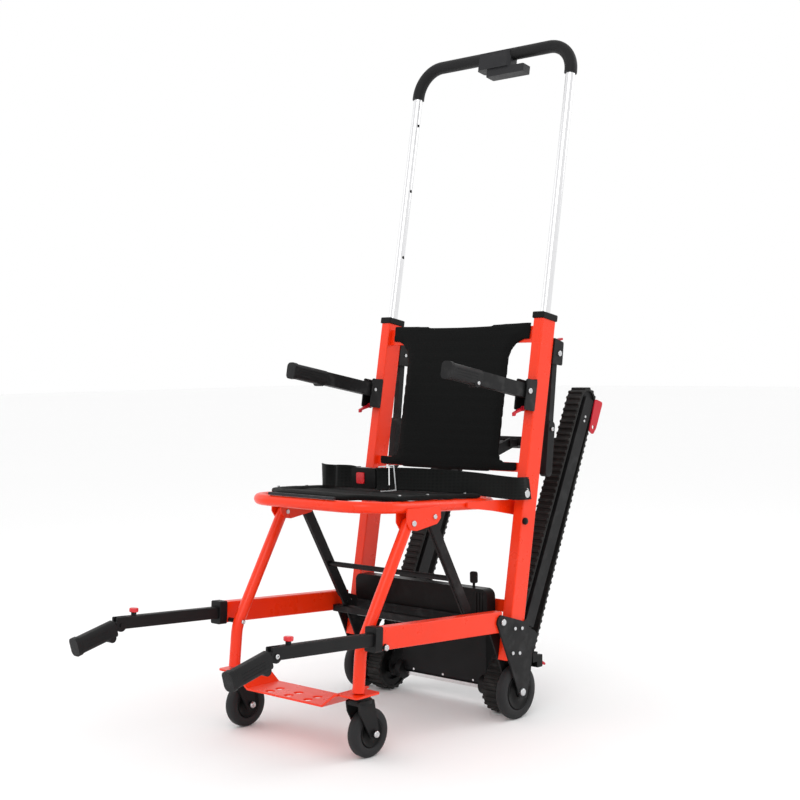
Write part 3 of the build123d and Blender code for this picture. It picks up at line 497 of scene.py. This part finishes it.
def build_screws():
    """Bright screws on black or red parts."""
    lean = Vector((0, -math.cos(RECLINE), math.sin(RECLINE)))
    for side, word in SIDES:
        outward = (side, 0, 0)
        for face in (-1, 1):
            axle = pivot(f"caster_spin_{word}")
            low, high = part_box(f"caster_fork_{word}")
            axle.x = high.x if face > 0 else low.x
            screw(f"caster_bolt_{word}_{'out' if face * side > 0 else 'in'}", axle, (face, 0, 0), 0.0072,
                  f"caster_swivel_{word}")
        low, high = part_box("rail_fittings")
        foot = pivot("legs_fold")
        foot.x = side * high.x
        screw(f"rail_bolt_{word}", foot, outward, 0.0062, "rails")
        boss = pivot(f"armrest_fold_{word}") + lean * 0.177 + Vector((0, 0, -0.012))
        boss.x = side * (abs(boss.x) + 0.0112)
        screw(f"armrest_grip_screw_{word}", boss, outward, 0.0042, f"armrest_{word}")
        hinge = pivot(f"lift_grip_tilt_{word}")
        hinge.x = side * (abs(hinge.x) + 0.0112)
        screw(f"lift_grip_screw_{word}", hinge, outward, 0.0048, f"lift_handle_{word}")
        knob_low, knob_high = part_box(f"lift_knob_{word}")
        middle = (knob_low + knob_high) / 2
        stem = [(-0.014, 0.0034), (-0.004, 0.0034)]
        add_piece(f"lift_knob_stem_{word}", turned(f"lift_knob_stem_{word}", stem, middle,
                                                   (0, 0.061, 0.998), 20), "zinc", f"lift_handle_{word}")
        knob = (side * 0.2461, pivot(f"rear_wheel_spin_{word}").y + 0.0189, 0.438)
        add_piece(f"post_knob_{word}", turned(f"post_knob_{word}", [(-0.001, 0.0075), (0.004, 0.0078),
                                                                    (0.006, 0.0066), (0.0066, 0.002)],
                                              knob, outward, 32),
                  "black_plastic", "chair_frame")


def box_piece(name, low, high, slot, body):
    """Plain box between two corners."""
    bm = bmesh.new()
    middle, size = (Vector(low) + Vector(high)) / 2, Vector(high) - Vector(low)
    bmesh.ops.create_cube(bm, size=1, matrix=Matrix.Translation(middle) @ Matrix.Diagonal((*size, 1)))
    return add_piece(name, from_bmesh(name, bm, smooth=False), slot, body)


def build_trim():
    """Bright edge of the tray, screws of the leg pins and screws in the guard holes."""
    low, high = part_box("battery_tray")
    edge = 0.0007
    box_piece("tray_edge", (low.x + 0.003, low.y - edge, low.z + 0.0004),
              (high.x - 0.003, low.y + edge, low.z + 0.0046), "zinc", "chair_frame")
    for side, word in SIDES:
        foot = pivot("legs_fold")
        foot.x = side * 0.174
        screw(f"leg_pin_end_{word}", foot, (-side, 0, 0), 0.0050, "rails")
        sleeve = pivot(f"brace_swing_{word}") - 0.172 * Vector((0, math.sin(BRACE_LEAN), math.cos(BRACE_LEAN)))
        sleeve.x = side * 0.2440
        screw(f"brace_screw_{word}", sleeve, (side, 0, 0), 0.0047, f"brace_{word}")
        for number, reach in ((1, 0.6576), (2, 0.6687)):
            place = pivot("sprocket_spin") + reach * Vector((0, math.sin(TILT), math.cos(TILT)))
            place.x = side * (TRACK_X + 0.0240)
            screw(f"track_screw_{word}_{number}", place, (side, 0, 0), 0.0032, "tracks")


# ---------------------------------------------------------------- seams of the sling

def surface_point(tree, start, direction):
    place, normal, _, _ = tree.ray_cast(start, direction)
    return None if place is None else (place, normal)


def seam(name, cloth, starts, direction, body):
    """Stitch row where rays from the starts, all in one direction, meet the cloth."""
    tree = BVHTree.FromObject(cloth, bpy.context.evaluated_depsgraph_get())
    hits = [surface_point(tree, start, direction) for start in starts]
    add = [hit for hit in hits if hit]
    if len(add) > 1:
        thread_run(name, add, body)


def build_seams():
    """Hem stitching along the upper and lower edge of the back and round the seat."""
    back, seat = bpy.data.objects["back_fabric"], bpy.data.objects["seat_fabric_sling"]
    low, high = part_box("backrest")
    for word, height, reach in (("low", low.z + 0.016, 0.193), ("top", high.z - 0.014, 0.196)):
        starts = [Vector((reach * (i / 40 - 1), low.y - 0.1, height)) for i in range(81)]
        seam(f"back_hem_{word}", back, starts, Vector((0, 1, 0)), "chair_frame")
    low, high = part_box("seat_pad")
    for side, word in SIDES:
        starts = [Vector((side * (high.x - 0.017), low.y + 0.11 + 0.24 * i / 60, high.z + 0.1))
                  for i in range(61)]
        seam(f"seat_hem_{word}", seat, starts, Vector((0, 0, -1)), "seat")
    starts = [Vector((0.09 * (i / 20 - 1), low.y + 0.017, high.z + 0.1)) for i in range(41)]
    seam("seat_hem_front", seat, starts, Vector((0, 0, -1)), "seat")


# ---------------------------------------------------------------- stage

def area_light(name, place, target, size, power):
    data = bpy.data.lights.new(name, "AREA")
    data.shape, data.size, data.energy = "DISK", size, power
    lamp = bpy.data.objects.new(name, data)
    lamp.location = place
    lamp.rotation_euler = (Vector(target) - Vector(place)).to_track_quat("-Z", "Y").to_euler()
    bpy.context.scene.collection.objects.link(lamp)


def build_stage():
    bm = bmesh.new()
    bmesh.ops.create_grid(bm, x_segments=1, y_segments=1, size=30)
    floor = bpy.data.objects.new("floor", from_bmesh("floor", bm))
    bpy.context.scene.collection.objects.link(floor)
    surface = Nodes("pale_floor")
    cloud = surface.noise(0.6).outputs["Fac"]
    surface.link(surface.mix(cloud, (0.96, 0.96, 0.96), (0.97, 0.97, 0.97)), "Base Color")
    surface.shader.inputs["Roughness"].default_value = 0.9
    floor.data.materials.append(surface.material)

    world = bpy.data.worlds.new("studio")
    world.use_nodes = True
    world.node_tree.nodes["Background"].inputs["Color"].default_value = (1.0, 1.0, 1.0, 1.0)
    world.node_tree.nodes["Background"].inputs["Strength"].default_value = 1.0
    bpy.context.scene.world = world
    bpy.context.scene.view_settings.view_transform = "Standard"
    middle = (0.0, 0.0, 0.7)
    area_light("key_light", (1.6, -2.6, 3.0), middle, 2.2, 26)
    area_light("side_light", (-3.0, -1.2, 1.8), middle, 2.0, 6)
    area_light("rear_light", (1.8, 2.6, 2.4), middle, 1.8, 14)


def build_camera():
    """Camera a little above seat height, in front and to the chair's left."""
    yaw, pitch, roll = math.radians(42.28), math.radians(2.27), math.radians(-0.67)
    view = Vector((-math.sin(yaw) * math.cos(pitch), math.cos(yaw) * math.cos(pitch), -math.sin(pitch)))
    level = Vector((math.cos(yaw), math.sin(yaw), 0))
    above = level.cross(view)
    right = level * math.cos(roll) + above * math.sin(roll)
    up = above * math.cos(roll) - level * math.sin(roll)
    data = bpy.data.cameras.new("camera")
    data.sensor_width, data.lens = 36.0, 62.1
    data.shift_x, data.shift_y = 0.002, 0.0176
    camera = bpy.data.objects.new("camera", data)
    turn = Matrix((right, up, -view)).transposed().to_4x4()
    camera.matrix_world = Matrix.Translation((2.08395, -2.18814, 0.79787)) @ turn
    bpy.context.scene.collection.objects.link(camera)
    bpy.context.scene.camera = camera


build_sling()
build_lap_belt()
for side, word in SIDES:
    build_belt_lugs(side, word)
build_wheels()
build_screws()
build_trim()
build_seams()
build_stage()
build_camera()
